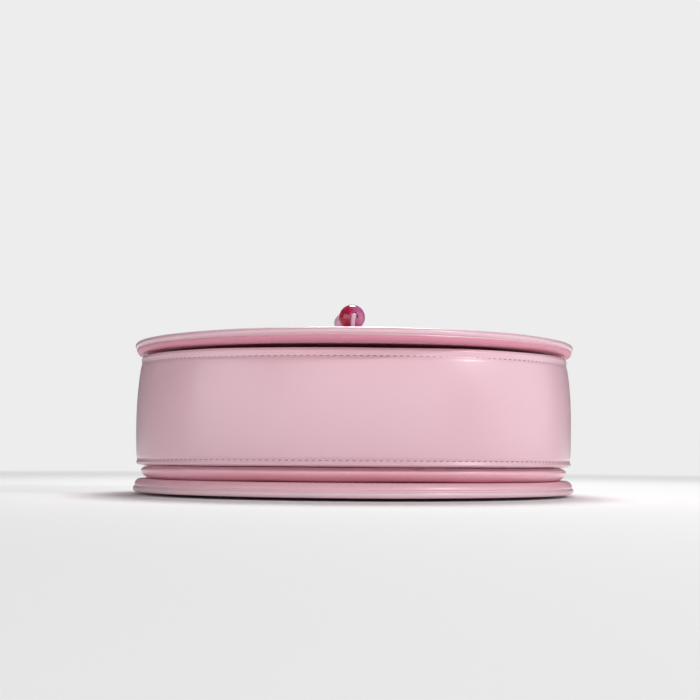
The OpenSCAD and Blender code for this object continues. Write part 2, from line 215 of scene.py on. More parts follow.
def add(tree, a, b):
    return mathNode(tree, "ADD", a, b)


def times(tree, a, b):
    return mathNode(tree, "MULTIPLY", a, b)


def less(tree, a, b):
    return mathNode(tree, "SUBTRACT", a, b)


def clampNode(tree, value):
    return mathNode(tree, "MINIMUM", mathNode(tree, "MAXIMUM", value, 0.0), 1.0)


def mixColor(tree, factor, a, b):
    node = tree.nodes.new("ShaderNodeMix")
    node.data_type = "RGBA"
    for socket, value in ((node.inputs["Factor"], factor), (node.inputs[6], a), (node.inputs[7], b)):
        if isinstance(value, (int, float, tuple)):
            socket.default_value = value
        else:
            tree.links.new(value, socket)
    return node.outputs[2]


def noiseNode(tree, vector, scale, detail=2.0, roughness=0.5):
    node = tree.nodes.new("ShaderNodeTexNoise")
    tree.links.new(vector, node.inputs["Vector"])
    if isinstance(scale, (int, float)):
        node.inputs["Scale"].default_value = scale
    else:
        tree.links.new(scale, node.inputs["Scale"])
    node.inputs["Detail"].default_value = detail
    node.inputs["Roughness"].default_value = roughness
    return node.outputs["Fac"]


# fine calf grain: small cells, soft creases and a slow change of tone
grain, gIn, gOut = newGroup(
    "leatherGrain",
    [("Vector", "NodeSocketVector", None), ("Tone", "NodeSocketColor", (0.7, 0.5, 0.55, 1)),
     ("Deep", "NodeSocketColor", (0.6, 0.4, 0.45, 1)), ("Cells", "NodeSocketFloat", 1400.0),
     ("Gloss", "NodeSocketFloat", 0.4)],
    [("Color", "NodeSocketColor"), ("Roughness", "NodeSocketFloat"), ("Height", "NodeSocketFloat")],
)
vector = gIn.outputs["Vector"]
cells = grain.nodes.new("ShaderNodeTexVoronoi")
cells.feature = "DISTANCE_TO_EDGE"
grain.links.new(vector, cells.inputs["Vector"])
grain.links.new(gIn.outputs["Cells"], cells.inputs["Scale"])
cellHeight = mathNode(grain, "MINIMUM", times(grain, cells.outputs["Distance"], 4.0), 1.0)
pores = noiseNode(grain, vector, 5200.0, 1.0)
waves = noiseNode(grain, vector, 70.0, 3.0)
slow = noiseNode(grain, vector, 14.0, 2.0)
creases = add(grain, times(grain, pores, 0.25), times(grain, waves, 0.9))
height = add(grain, times(grain, cellHeight, 0.5), creases)
shade = add(grain, times(grain, slow, 0.9), times(grain, less(grain, 1.0, cellHeight), 0.16))
grainShade = clampNode(grain, less(grain, shade, 0.2))
grain.links.new(mixColor(grain, grainShade, gIn.outputs["Tone"], gIn.outputs["Deep"]), gOut.inputs["Color"])
unevenGloss = times(grain, less(grain, waves, 0.5), 0.16)
grain.links.new(add(grain, gIn.outputs["Gloss"], unevenGloss), gOut.inputs["Roughness"])
grain.links.new(height, gOut.inputs["Height"])

# twill or plain weave: threads that cross, with a little slub
weave, wIn, wOut = newGroup(
    "weave",
    [("Vector", "NodeSocketVector", None), ("Tone", "NodeSocketColor", (0.5, 0.2, 0.3, 1)),
     ("Deep", "NodeSocketColor", (0.4, 0.15, 0.2, 1)), ("Threads", "NodeSocketFloat", 900.0)],
    [("Color", "NodeSocketColor"), ("Height", "NodeSocketFloat")],
)
split = weave.nodes.new("ShaderNodeSeparateXYZ")
weave.links.new(wIn.outputs["Vector"], split.inputs[0])
yAndZ = add(weave, split.outputs["Y"], split.outputs["Z"])


def threadWave(across, rate, depth):
    turns = times(weave, across, wIn.outputs["Threads"])
    wave = mathNode(weave, "SINE", times(weave, turns, rate))
    return times(weave, wave, depth)


warp = threadWave(add(weave, split.outputs["X"], yAndZ), 6.2832, 0.5)
weft = threadWave(less(weave, split.outputs["X"], yAndZ), 2.1, 0.3)
slub = noiseNode(weave, wIn.outputs["Vector"], 260.0, 2.0)
lift = add(weave, add(weave, warp, weft), slub)
weave.links.new(lift, wOut.inputs["Height"])
weaveShade = clampNode(weave, less(weave, 0.9, lift))
weave.links.new(mixColor(weave, weaveShade, wIn.outputs["Tone"], wIn.outputs["Deep"]), wOut.inputs["Color"])

# handled metal: faint scratches and smudges
handled, hIn, hOut = newGroup(
    "handledMetal",
    [("Vector", "NodeSocketVector", None), ("Gloss", "NodeSocketFloat", 0.2)],
    [("Roughness", "NodeSocketFloat"), ("Height", "NodeSocketFloat")],
)
stretch = handled.nodes.new("ShaderNodeMapping")
stretch.inputs["Scale"].default_value = (1, 1, 14)
handled.links.new(hIn.outputs["Vector"], stretch.inputs["Vector"])
scratches = noiseNode(handled, stretch.outputs[0], 420.0, 3.0)
smudges = noiseNode(handled, hIn.outputs["Vector"], 90.0, 2.0)
smudged = add(handled, hIn.outputs["Gloss"], times(handled, smudges, 0.14))
handled.links.new(smudged, hOut.inputs["Roughness"])
handled.links.new(scratches, hOut.inputs["Height"])


# materials
def newMaterial(name):
    material = bpy.data.materials.new(name)
    material.use_nodes = True
    tree = material.node_tree
    shader = tree.nodes["Principled BSDF"]
    coords = tree.nodes.new("ShaderNodeTexCoord")
    return material, tree, shader, coords.outputs["Object"]


def placeGroup(tree, group, vector, **values):
    node = tree.nodes.new("ShaderNodeGroup")
    node.node_tree = group
    tree.links.new(vector, node.inputs["Vector"])
    for label, value in values.items():
        node.inputs[label].default_value = value
    return node


def bumpFrom(tree, shader, height, strength, distance):
    bump = tree.nodes.new("ShaderNodeBump")
    bump.inputs["Strength"].default_value = strength
    bump.inputs["Distance"].default_value = distance
    tree.links.new(height, bump.inputs["Height"])
    tree.links.new(bump.outputs[0], shader.inputs["Normal"])


def leather(name, tone, deep, gloss=0.45, cells=1400.0, bump=0.3, coat=1.0):
    material, tree, shader, vector = newMaterial(name)
    node = placeGroup(tree, grain, vector, Tone=(*tone, 1), Deep=(*deep, 1), Cells=cells, Gloss=gloss)
    tree.links.new(node.outputs["Color"], shader.inputs["Base Color"])
    tree.links.new(node.outputs["Roughness"], shader.inputs["Roughness"])
    bumpFrom(tree, shader, node.outputs["Height"], bump, 0.12 * mm)
    shader.inputs["Coat Weight"].default_value = coat
    shader.inputs["Coat Roughness"].default_value = 0.28
    shader.inputs["Specular IOR Level"].default_value = 1.0
    return material


def cloth(name, tone, deep, threads=900.0, bump=0.5, roughness=0.85, sheen=0.3):
    material, tree, shader, vector = newMaterial(name)
    node = placeGroup(tree, weave, vector, Tone=(*tone, 1), Deep=(*deep, 1), Threads=threads)
    tree.links.new(node.outputs["Color"], shader.inputs["Base Color"])
    bumpFrom(tree, shader, node.outputs["Height"], bump, 0.15 * mm)
    shader.inputs["Roughness"].default_value = roughness
    shader.inputs["Sheen Weight"].default_value = sheen
    shader.inputs["Sheen Roughness"].default_value = 0.5
    return material


def metal(name, tone, gloss=0.18, bump=0.06):
    material, tree, shader, vector = newMaterial(name)
    node = placeGroup(tree, handled, vector, Gloss=gloss)
    tree.links.new(node.outputs["Roughness"], shader.inputs["Roughness"])
    bumpFrom(tree, shader, node.outputs["Height"], bump, 0.05 * mm)
    shader.inputs["Base Color"].default_value = (*tone, 1)
    shader.inputs["Metallic"].default_value = 1.0
    return material


def resin(name, leftTone, rightTone, clear, swirl, turn):
    material, tree, shader, vector = newMaterial(name)
    shape = tree.nodes.new("ShaderNodeMapping")
    shape.inputs["Location"].default_value = turn["centre"]
    tree.links.new(vector, shape.inputs["Vector"])
    split = tree.nodes.new("ShaderNodeSeparateXYZ")
    tree.links.new(shape.outputs[0], split.inputs[0])
    cloud = noiseNode(tree, vector, swirl, 3.0)
    veins = times(tree, less(tree, cloud, 0.5), 1.6)
    side = add(tree, times(tree, split.outputs["X"], turn["sharp"]), veins)
    share = clampNode(tree, add(tree, side, 0.5))
    tree.links.new(mixColor(tree, share, (*leftTone, 1), (*rightTone, 1)), shader.inputs["Base Color"])
    shader.inputs["Roughness"].default_value = 0.06
    shader.inputs["Transmission Weight"].default_value = clear
    shader.inputs["IOR"].default_value = 1.49
    shader.inputs["Coat Weight"].default_value = 0.6
    shader.inputs["Coat Roughness"].default_value = 0.03
    return material


pinkTone, pinkDeep = (0.77, 0.475, 0.55), (0.73, 0.425, 0.50)
pinkLeather = leather("pinkLeather", pinkTone, pinkDeep)
plateLeather = leather("plateLeather", (0.79, 0.50, 0.57), (0.75, 0.455, 0.53))
# flap band: a deeper, redder copy of the pink leather, painted shade for the dim pink bounce light under the
# flap's rim
bandPaintedShadeLeather = leather("bandPaintedShadeLeather", (0.68, 0.25, 0.345), (0.64, 0.21, 0.305), gloss=0.55, coat=0.25)
# back plate band: a brighter copy of the pink leather, painted light
lowBandPaintedLightLeather = leather("lowBandPaintedLightLeather", (0.87, 0.49, 0.57), (0.83, 0.45, 0.53), coat=0.6)
# back panel pad: a redder, brighter copy of the pink leather, painted pink bounce light, made brighter to
# offset the shade under the gusset
padPaintedLightLeather = leather("padPaintedLightLeather", (0.86, 0.45, 0.54), (0.82, 0.41, 0.50))
# back plate: a lighter, whiter copy of the pink leather, painted light and painted sheen on its rolled edge
lowPlatePaintedLightLeather = leather("lowPlatePaintedLightLeather", (0.86, 0.57, 0.64), (0.82, 0.53, 0.60))
# undersides and insides: a deeper copy of the pink leather, painted shade
rosePaintedShadeLeather = leather("rosePaintedShadeLeather", (0.74, 0.28, 0.37), (0.66, 0.22, 0.31), gloss=0.5)
liningTwill = cloth("liningTwill", (0.52, 0.24, 0.32), (0.42, 0.17, 0.24))
zipCloth = cloth("zipCloth", (0.55, 0.26, 0.34), (0.44, 0.19, 0.26), threads=1300.0)
elasticCloth = cloth("elasticCloth", (0.66, 0.46, 0.58), (0.52, 0.33, 0.45), threads=700.0)
boardCard = cloth("boardCard", (0.42, 0.38, 0.33), (0.36, 0.32, 0.27), threads=400.0, sheen=0.0)
foamCell = cloth("foamCell", (0.8, 0.76, 0.64), (0.7, 0.65, 0.53), threads=500.0, sheen=0.0)
nickel = metal("nickel", (0.58, 0.565, 0.55), gloss=0.16)
darkIron = metal("darkIron", (0.25, 0.25, 0.26), gloss=0.4)
threadPink = cloth("threadPink", (0.50, 0.26, 0.34), (0.38, 0.18, 0.25),
                   threads=2600.0, bump=0.4, roughness=0.6)
cordPink = cloth("cordPink", (0.84, 0.48, 0.62), (0.74, 0.36, 0.50),
                 threads=2400.0, bump=0.4, roughness=0.55)
zipNylon = cloth("zipNylon", (0.48, 0.18, 0.27), (0.4, 0.14, 0.21),
                 threads=1800.0, bump=0.1, roughness=0.35, sheen=0.0)
print("materials made")


# modelling helpers
def newPiece(name, bm, body, material, slotName, replaces=()):
    mesh = bpy.data.meshes.new(name)
    bm.normal_update()
    bm.to_mesh(mesh)
    bm.free()
    for polygon in mesh.polygons:
        polygon.use_smooth = True
    piece = bpy.data.objects.new(name, mesh)
    bpy.context.collection.objects.link(piece)
    mesh.materials.append(material)
    if body:
        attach(piece, body)
    if replaces:
        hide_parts(*replaces)
    return piece


def arcPoints(centre, radius, startAngle, endAngle, count):
    angles = [math.radians(startAngle + (endAngle - startAngle) * i / count) for i in range(count + 1)]
    return [(centre[0] + radius * math.cos(a), centre[1] + radius * math.sin(a)) for a in angles]


def chain(bm, points):
    verts = [bm.verts.new(p) for p in points]
    return verts, [bm.edges.new(pair) for pair in zip(verts, verts[1:])]


def drawOut(bm, edges):
    # one more row of faces from an open edge: its new vertices and edges
    made = bmesh.ops.extrude_edge_only(bm, edges=edges)["geom"]
    verts = [g for g in made if isinstance(g, bmesh.types.BMVert)]
    return verts, [g for g in made if isinstance(g, bmesh.types.BMEdge) and all(v in verts for v in g.verts)]


def sweep(bm, profile, stations, closed=False, capped=False):
    # stations are matrices: local X out, local Y up, local Z along the path
    verts, edges = chain(bm, [stations[0] @ Vector((u, v, 0)) for u, v in profile])
    if closed:
        edges.append(bm.edges.new((verts[-1], verts[0])))
    first = list(edges)
    previous = stations[0]
    for station in stations[1:]:
        verts, edges = drawOut(bm, edges)
        bmesh.ops.transform(bm, matrix=station @ previous.inverted(), verts=verts)
        previous = station
    if capped:
        bmesh.ops.contextual_create(bm, geom=first)
        bmesh.ops.contextual_create(bm, geom=edges)


def flatStation(point, ahead, z=0.0):
    # a station on a level path: out to the right of the way it runs
    along = Vector((ahead[0], ahead[1], 0)).normalized()
    out = Vector((along.y, -along.x, 0))
    return Matrix((
        (out.x, 0, along.x, point[0]),
        (out.y, 0, along.y, point[1]),
        (0, 1, 0, z),
        (0, 0, 0, 1),
    ))


def stationsAlong(path, z=0.0):
    found = []
    for i, point in enumerate(path):
        before, after = path[max(i - 1, 0)], path[min(i + 1, len(path) - 1)]
        found.append(flatStation(point, (after[0] - before[0], after[1] - before[1]), z))
    return found


def walk(path, spacing, margin=0.0):
    # evenly spaced (point, direction) pairs along a path of any dimension
    points = [Vector(p) for p in path]
    total = sum((b - a).length for a, b in zip(points, points[1:]))
    count = max(2, round((total - 2 * margin) / spacing))
    wanted = [margin + (total - 2 * margin) * (i + 0.5) / count for i in range(count)]
    found, gone = [], 0.0
    for a, b in zip(points, points[1:]):
        length = (b - a).length
        while wanted and wanted[0] <= gone + length and length > 0:
            found.append((a.lerp(b, (wanted.pop(0) - gone) / length), (b - a).normalized()))
        gone += length
    return found


def soften(bm, amount, size, seed=0.0):
    # gentle unevenness of soft leather, along each vertex's own normal
    bm.normal_update()
    for v in bm.verts:
        v.co += v.normal * amount * noise.noise(v.co / size + Vector((seed, 2 * seed, 0)))


def tidyNormals(bm):
    bmesh.ops.remove_doubles(bm, verts=bm.verts, dist=0.01 * mm)
    bmesh.ops.recalc_face_normals(bm, faces=bm.faces)


def closeHoles(bm):
    bmesh.ops.holes_fill(bm, edges=[e for e in bm.edges if e.is_boundary], sides=0)
    tidyNormals(bm)


def joinInto(whole, part):
    carrier = bpy.data.meshes.new("carrier")
    part.to_mesh(carrier)
    part.free()
    whole.from_mesh(carrier)
    bpy.data.meshes.remove(carrier)


stitch = dict(length=2.0, width=0.6, height=0.5, pitch=3.07, slant=6.0, sink=0.05)


def stitchRow(name, places, body, slotName="pink_leather"):
    # places are matrices: local X along the row, local Z out of the leather
    half = [stitch[key] / 2 * mm for key in ("height", "width", "length")]
    size = Matrix.Rotation(math.pi / 2, 4, "Y") @ Matrix.Diagonal((*half, 1))
    sunk = Matrix.Translation((0, 0, -stitch["sink"] * mm))
    matrices = []
    for i, place in enumerate(places):
        lean = math.radians(stitch["slant"] + 2.5 * math.sin(i * 2.4))
        matrices.append(place @ sunk @ Matrix.Rotation(lean, 4, "Z") @ size)
    newPiece(name, repeatedBeads(matrices), body, threadPink, slotName)


def repeatedBeads(matrices, around=7, along=5):
    # many small rounded shapes, made a few dozen at a time
    whole = bmesh.new()
    for start in range(0, len(matrices), 32):
        few = bmesh.new()
        for matrix in matrices[start:start + 32]:
            bmesh.ops.create_uvsphere(few, u_segments=around, v_segments=along, radius=1.0, matrix=matrix)
        joinInto(whole, few)
    return whole


def seat(point, along, out):
    # matrix for one stitch from its place, its direction and the way out of the leather
    x = Vector(along).normalized()
    z = (Vector(out) - Vector(out).dot(x) * x).normalized()
    y = z.cross(x)
    matrix = Matrix((x, y, z)).transposed().to_4x4()
    matrix.translation = point
    return matrix


def plateEdge(inset, endY, steps=90):
    # left side, round bottom, right side
    r = plateRadius - inset
    arc = [(r * math.cos(a), arcY + r * math.sin(a)) for a in
           [math.pi * (1 + i / steps) for i in range(steps + 1)]]
    straight = 8
    rise = [(endY - arcY) * i / straight for i in range(1, straight + 1)]
    return [(-r, arcY + y) for y in reversed(rise)] + arc + [(r, arcY + y) for y in rise]


def bodyEdge(inset, steps=96, sideSteps=8):
    # the body's outline, from the left end of the mouth round to the right end
    half = bodyHalf - inset
    depth = bodyWideY - bodyFrontY - inset
    points = []
    for i in range(steps + 1):
        a = math.pi * (1 + i / steps)
        c, s = math.cos(a), math.sin(a)
        points.append((half * math.copysign(abs(c) ** (2 / bodyPower), c),
                       bodyWideY + depth * math.copysign(abs(s) ** (2 / bodyPower), s)))
    lean = [i / sideSteps for i in range(1, sideSteps + 1)]
    side = [(half - sideLean * t, bodyWideY + (mouthY - bodyWideY) * t) for t in lean]
    return [(-x, y) for x, y in reversed(side)] + points + side


# helpers for straps, tubes and cloth
def roundRect(width, height, rounding, steps=3):
    # corners of a rounded rectangle about the origin, as one closed profile
    points = []
    for cx, cy, start in ((1, 1, 0), (-1, 1, 90), (-1, -1, 180), (1, -1, 270)):
        centre = (cx * (width / 2 - rounding), cy * (height / 2 - rounding))
        points += arcPoints(centre, rounding, start, start + 90, steps)
    return points


def softBox(low, high, rounding, segments=3):
    low, high = Vector(low) * mm, Vector(high) * mm
    bm = bmesh.new()
    matrix = Matrix.Translation((low + high) / 2) @ Matrix.Diagonal((*(high - low), 1))
    bmesh.ops.create_cube(bm, size=1, matrix=matrix)
    bmesh.ops.bevel(bm, geom=bm.edges[:], offset=rounding * mm, segments=segments, profile=0.5,
                    affect="EDGES", material=-1)
    return bm


def crossCuts(bm, axis, start, end, spacing):
    # extra loops across a long piece, so that it can bend and dip
    count = max(1, round((end - start) / spacing))
    for i in range(1, count):
        at = [0, 0, 0]
        at[axis] = start + (end - start) * i / count
        normal = [0, 0, 0]
        normal[axis] = 1
        bmesh.ops.bisect_plane(bm, geom=bm.verts[:] + bm.edges[:] + bm.faces[:], dist=1e-6,
                               plane_co=at, plane_no=normal)


def tubeStations(path, twist=0.0):
    # carried frames along a path in space, turning by twist radians a metre
    points = [Vector(p) for p in path]
    last = len(points) - 1
    ahead = [(points[min(i + 1, last)] - points[max(i - 1, 0)]).normalized() for i in range(last + 1)]
    side = ahead[0].orthogonal().normalized()
    found, gone = [], 0.0
    for i, (point, along) in enumerate(zip(points, ahead)):
        side = (side - side.dot(along) * along).normalized()
        gone += (point - points[i - 1]).length if i else 0.0
        turned = Matrix.Rotation(gone * twist, 3, along) @ side
        up = along.cross(turned)
        matrix = Matrix((turned, up, along)).transposed().to_4x4()
        matrix.translation = point
        found.append(matrix)
    return found


def smoothPath(points, cuts):
    # a curve through every point, for cords
    found = []
    for i in range(len(points) - 1):
        a, b = Vector(points[max(i - 1, 0)]), Vector(points[i])
        c, d = Vector(points[i + 1]), Vector(points[min(i + 2, len(points) - 1)])
        for k in range(cuts):
            t = k / cuts
            found.append(0.5 * (2 * b + (c - a) * t + (2 * a - 5 * b + 4 * c - d) * t * t
                                + (3 * b - a - 3 * c + d) * t ** 3))
    found.append(Vector(points[-1]))
    return found


def fanShell(path, steps):
    # the open outline drawn in towards the middle of the mouth, step by step: (share, z)
    centre = Vector((0, mouthY, 0))
    bm = bmesh.new()
    share, level = steps[0]
    verts, edges = chain(bm, [(centre.x + (x - centre.x) * share, centre.y + (y - centre.y) * share, level)
                              for x, y in path])
    for nextShare, nextLevel in steps[1:]:
        verts, edges = drawOut(bm, edges)
        grow = nextShare / share
        bmesh.ops.scale(bm, vec=(grow, grow, 1), verts=verts, space=Matrix.Translation(-centre))
        bmesh.ops.translate(bm, vec=(0, 0, nextLevel - level), verts=verts)
        share, level = nextShare, nextLevel
    return bm


def lineStitches(name, start, end, out, body, slotName="pink_leather"):
    line = [Vector(start) * mm, Vector(end) * mm]
    places = [seat(p, d, out) for p, d in walk(line, stitch["pitch"] * mm)]
    stitchRow(name, places, body, slotName)


# bead pull: a twisted cord through two eyelets, with two beads on it
pull = dict(
    radius=1.0,
    lobes=3,
    groove=0.14,  # depth of the grooves between its plies, as a share of the radius
    twist=1250.0,  # radians a metre
    beadBore=1.6,
    knot=dict(spread=0.66, rise=0.42, cord=0.56, below=1.0),
    large=dict(centre=(-0.4, 24, 6.4), diameter=12.0, bore=(-0.2, 0.97, -0.05), barrel=0.16),
    small=dict(centre=(-4.2, 34, 4.8), diameter=9.0, bore=(-0.5, 0.85, -0.2), barrel=0.06),
)
pullRoute = [
    (0, 13.6, -1.6), (0, 13.6, -0.6), (0, 13.6, 0.6), (0, 13.6, 2.8), (0.1, 14.1, 4.8),
    (0.5, 15.5, 6.3), (0.8, 17.6, 6.8), (0.4, 20.5, 6.6), (-0.4, 24, 6.4), (-1.1, 27.3, 6.2),
    (-1.6, 29.2, 6.0), (-2.3, 31, 5.5), (-4.2, 34, 4.8), (-5.4, 36, 4.3), (-6.4, 37.8, 3.9),
    (-7, 40, 3.5), (-6.5, 42.3, 3.2), (-5.4, 43.8, 3.1), (-3.8, 44.8, 2.9), (-2.1, 45.4, 2.3),
    (-0.6, 45.9, 1), (0, 46, -0.4), (0, 46, -1.6),
]
pullOrigin = Vector((-1 * mm, tipY, flapHigh.z))  # near the flap's tip, on its top face


def fromTip(point):
    return pullOrigin + Vector(point) * mm


def pullCord():
    path = [fromTip(p) for p in pullRoute]
    fine = smoothPath(path, 6)
    profile = []
    for i in range(18):
        a = 2 * math.pi * i / 18
        ply = abs(math.cos(pull["lobes"] * a / 2))
        r = pull["radius"] * mm * (1 - pull["groove"] + pull["groove"] * ply)
        profile.append((r * math.cos(a), r * math.sin(a)))
    bm = bmesh.new()
    sweep(bm, profile, tubeStations(fine, pull["twist"]), closed=True, capped=True)
    tidyNormals(bm)
    return newPiece("pullCord", bm, "flap", cordPink, "cord", ["pull_cord"]), path


def pullKnots():
    # one flat knot under each eyelet, inside the flap
    size = pull["knot"]
    bm = bmesh.new()
    for end in (pullRoute[0], pullRoute[-1]):
        middle = fromTip(end) - Vector((0, 0, size["below"] * mm))
        knot = []
        for i in range(61):
            t = 2 * math.pi * i / 60
            knot.append(middle + Vector((size["spread"] * (math.sin(t) + 2 * math.sin(2 * t)),
                                         size["spread"] * (math.cos(t) - 2 * math.cos(2 * t)),
                                         -size["rise"] * math.sin(3 * t))) * mm)
        profile = arcPoints((0, 0), size["cord"] * mm, 0, 315, 7)
        sweep(bm, profile, tubeStations(knot), closed=True, capped=True)
    tidyNormals(bm)
    return newPiece("pullKnots", bm, "flap", cordPink, "cord", ["pull_knots"])


def turnedBead(name, bead, body, material, slotName, node):
    # half section turned round the bore, with softened lips
    r, bore = bead["diameter"] / 2 * mm, pull["beadBore"] * mm
    lip = math.degrees(math.acos((bore + 0.35 * mm) / r))
    outer = []
    for x, z in arcPoints((0, 0), r, lip, -lip, 22):
        square = 1 + bead["barrel"] * 0.25 * math.sin(2 * math.atan2(abs(z), x)) ** 2
        outer.append((min(x * square, r), z))
    end = outer[0][1]
    lips = [(bore + 0.12 * mm, -end), (bore, -end + 0.25 * mm)]
    wall = [(bore, end * k) for k in (-0.5, 0, 0.5)]
    section = outer + lips + wall + [(bore, end - 0.25 * mm), (bore + 0.12 * mm, end)]
    bm = bmesh.new()
    verts, edges = chain(bm, [(x, 0, z) for x, z in section])
    edges.append(bm.edges.new((verts[-1], verts[0])))
    bmesh.ops.spin(bm, geom=verts + edges, axis=(0, 0, 1), cent=(0, 0, 0), dvec=(0, 0, 0),
                   angle=2 * math.pi, steps=48, use_merge=True)
    aim = Vector(bead["bore"]).to_track_quat("Z", "Y").to_matrix().to_4x4()
    bmesh.ops.transform(bm, matrix=Matrix.Translation(fromTip(bead["centre"])) @ aim, verts=bm.verts)
    tidyNormals(bm)
    return newPiece(name, bm, body, material, slotName, [node])


magentaResin = resin("magentaResin", (0.58, 0.005, 0.07), (0.66, 0.15, 0.36), 0.35, 330.0,
                     dict(centre=tuple(-fromTip(pull["large"]["centre"])), sharp=260.0))
lilacResin = resin("lilacResin", (0.90, 0.58, 0.74), (0.92, 0.68, 0.82), 0.15, 280.0,
                   dict(centre=tuple(-fromTip(pull["small"]["centre"])), sharp=260.0))
cord, cordPath = pullCord()
knots = pullKnots()
largeBead = turnedBead("largeBead", pull["large"], "large_bead", magentaResin, "magenta_resin", "bead_large")
smallBead = turnedBead("smallBead", pull["small"], "small_bead", lilacResin, "lilac_resin", "bead_small")
print("bead pull made")


# plates: the flap and the back plate
plate = dict(
    rim=4.6,  # turned edge on the inner side
    skin=1.2,
    crown=0.3,
    seamInset=5.6,  # stitched line near the edge
    groove=0.35,
    outerRoll=1.55,  # radius of the outer leather's rolled edge
    innerRoll=3.0,  # how far the padded layer below it curves in
    setBack=0.45,  # how far that layer stands behind the outer roll
    bellyStart=2.0,  # the padded outer face swells from here in from the edge
    bellyReach=22.0,
    stitchEnd=8.0,  # a stitched row stops this far from the straight edge
    wave=0.12,  # slow unevenness of the leather
    waveSize=38.0,
    spinSteps=84,
)


def plateUnderCurve(thickness):
    # the padded layer's edge, from the outer roll down to the inner face
    roll, pad = plate["outerRoll"] * mm, plate["innerRoll"] * mm
    start = plateRadius - plate["setBack"] * mm - 0.3 * mm
    depth = thickness - 2 * roll - 0.1 * mm
    top = -2 * roll - 0.1 * mm
    return [(start - pad + pad * x, top + depth * y) for x, y in arcPoints((0, 0), 1, -6, -88, 12)]


def plateSection(thickness):
    # from the middle of the outer face out to the rim and back along the inner face
    r = plateRadius
    seam = r - plate["seamInset"] * mm
    section = []
    for i in range(15):
        x = (seam - 2 * mm) * i / 14
        section.append((x, -plate["crown"] * mm * (x / seam) ** 4))
    low = -plate["crown"] * mm
    section += [(seam - 0.9 * mm, low), (seam - 0.45 * mm, low - 0.2 * mm)]
    section += [(seam, low - plate["groove"] * mm), (seam + 0.45 * mm, low - 0.2 * mm)]
    section += [(seam + 1.1 * mm, low * 0.4), (seam + 2.2 * mm, 0)]
    roll, back = plate["outerRoll"] * mm, plate["setBack"] * mm
    section += arcPoints((r - roll, -roll), roll, 82, -74, 14)
    section += [(r - back - 0.7 * mm, -2 * roll - 0.05 * mm)]
    section += plateUnderCurve(thickness)
    inner = r - plate["rim"] * mm
    section += [(inner + 0.3 * mm, -thickness), (inner, -thickness + 0.3 * mm)]
    section += [(inner, -thickness + plate["skin"] * mm), (0, -thickness + plate["skin"] * mm)]
    return section


def halfMoon(section, endY, steps):
    # a half section spun round the bottom and drawn out along both sides
    bm = bmesh.new()
    verts, edges = chain(bm, [(x, arcY, z) for x, z in section])
    bmesh.ops.translate(bm, verts=drawOut(bm, edges)[0], vec=(0, endY - arcY, 0))
    mirrored = bmesh.ops.duplicate(bm, geom=list(bm.faces))["geom"]
    bmesh.ops.scale(bm, vec=(-1, 1, 1), verts=[g for g in mirrored if isinstance(g, bmesh.types.BMVert)])
    bmesh.ops.spin(bm, geom=verts + edges, axis=(0, 0, 1), cent=(0, arcY, 0), dvec=(0, 0, 0),
                   angle=-math.pi, steps=steps, use_merge=False)
    bmesh.ops.remove_doubles(bm, verts=bm.verts, dist=0.02 * mm)
    return bm


def plateShell(name, outerZ, innerZ, body, material, replaces, belly=0):
    sign = 1 if outerZ > innerZ else -1
    section = [(x, outerZ + sign * z) for x, z in plateSection(abs(outerZ - innerZ))]
    bm = halfMoon(section, plateEndY, plate["spinSteps"])
    along = [e for e in bm.edges if abs(e.verts[0].co.y - e.verts[1].co.y) > 20 * mm
             and abs(e.verts[0].co.x - e.verts[1].co.x) < 0.1 * mm]
    bmesh.ops.subdivide_edges(bm, edges=along, cuts=9, use_grid_fill=True)
    openEnd = [e for e in bm.edges if e.is_boundary
               and all(abs(v.co.y - plateEndY) < 0.05 * mm for v in e.verts)]
    bmesh.ops.contextual_create(bm, geom=openEnd)
    tidyNormals(bm)
    soften(bm, plate["wave"] * mm, plate["waveSize"] * mm, seed=sign)
    for v in bm.verts:
        if belly and abs(v.co.z - outerZ) < 0.7 * mm:
            fromRim = plateRadius - math.hypot(v.co.x, min(v.co.y - arcY, 0))
            fromEdge = min(fromRim, plateEndY - v.co.y) - plate["bellyStart"] * mm
            t = min(1, max(0, fromEdge / (plate["bellyReach"] * mm)))
            v.co.z += sign * belly * mm * t * t * (3 - 2 * t)
    newPiece(name, bm, body, material, "pink_leather", replaces)


def plateBand(name, outerZ, innerZ, body, material):
    # the padded layer's own leather strip, under the outer roll
    sign = 1 if outerZ > innerZ else -1
    thickness = abs(outerZ - innerZ)
    curve = plateUnderCurve(thickness)
    skin = 0.5 * mm
    face = [(x + 0.07 * mm, z - 0.03 * mm) for x, z in curve]
    inside = [(x - skin, z + 0.3 * skin) for x, z in reversed(curve)]
    profile = [(x - plateRadius, outerZ + sign * z) for x, z in face + inside]
    bm = bmesh.new()
    sweep(bm, profile, stationsAlong(plateEdge(0, plateEndY - 1 * mm)), closed=True, capped=True)
    tidyNormals(bm)
    soften(bm, plate["wave"] * mm, plate["waveSize"] * mm, seed=sign)
    newPiece(name, bm, body, material, "pink_leather")


def plateStitches(name, inset, z, body, up):
    # a row round a plate's face
    path = plateEdge(inset * mm, plateEndY - plate["stitchEnd"] * mm)
    places = [seat((p.x, p.y, z), (d.x, d.y, 0), (0, 0, up)) for p, d in walk(path, stitch["pitch"] * mm)]
    stitchRow(name, places, body)


plateShell("flapLeather", flapHigh.z, flapLow.z, "flap", plateLeather, ["flap_skin"])
grooveZ = flapHigh.z - (plate["groove"] + plate["crown"]) * mm
plateStitches("flapStitches", plate["seamInset"], grooveZ, "flap", 1)
# the flap's band wears the painted shade copy of the leather
plateBand("flapBand", flapHigh.z, flapLow.z, "flap", bandPaintedShadeLeather)
# the back plate's shell wears the painted light and sheen copy of the leather
plateShell("backPlateLeather", backLow.z, backHigh.z, "bag", lowPlatePaintedLightLeather, ["back_skin"], belly=1.35)
# the back plate's band wears the painted light copy of the leather
plateBand("backPlateBand", backLow.z, backHigh.z, "bag", lowBandPaintedLightLeather)
print("plates made")


